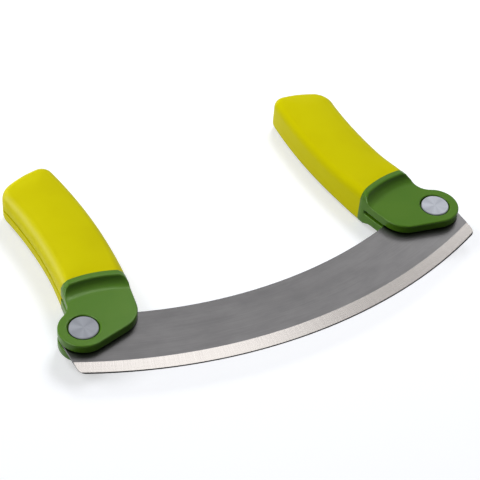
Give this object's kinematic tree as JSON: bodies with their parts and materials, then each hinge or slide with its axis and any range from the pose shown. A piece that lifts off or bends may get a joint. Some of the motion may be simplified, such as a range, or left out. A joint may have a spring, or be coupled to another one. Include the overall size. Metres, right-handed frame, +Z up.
{
  "type": "mezzaluna",
  "caption": "Folding mezzaluna: a curved rocking blade with upright grips hinged on rivets at its ends; the grips swing round to cover the cutting edge.",
  "frame": {"origin": "middle of the footprint, on the level that the undersides of the handles lie on", "axes": "+X along the blade from the left rivet to the right one, +Y from the cutting edge towards the far ends of the handles, +Z up, square to the blade's flat"},
  "size_m": [0.2248, 0.1564, 0.0208],
  "materials": {
    "blade_steel": "satin flat with a finely ground bevel along the cutting edge",
    "core_plastic": "moulded, satin",
    "grip_soft_touch": "overmoulded, smooth and matt",
    "rivet_steel": "turned, with a bright rim",
    "washer_nylon": "plain"
  },
  "bodies": {
    "blade": {"blade": "blade_steel"},
    "left_handle": {"left_handle_core": "core_plastic", "left_grip": "grip_soft_touch", "left_rivet_post": "rivet_steel", "left_rivet_cap": "rivet_steel", "left_upper_washer": "washer_nylon", "left_lower_washer": "washer_nylon"},
    "right_handle": {"right_handle_core": "core_plastic", "right_grip": "grip_soft_touch", "right_rivet_post": "rivet_steel", "right_rivet_cap": "rivet_steel", "right_upper_washer": "washer_nylon", "right_lower_washer": "washer_nylon"}
  },
  "joints": [
    {"name": "left_handle_fold", "type": "hinge", "parent": "blade", "child": "left_handle", "pos_m": [-0.1, -0.03228, 0.0104], "axis": [0, 0, 1], "range_deg": [-3, 253.2]},
    {"name": "right_handle_fold", "type": "hinge", "parent": "blade", "child": "right_handle", "pos_m": [0.1, -0.03228, 0.0104], "axis": [0, 0, -1], "range_deg": [0, 256.2]}
  ]
}
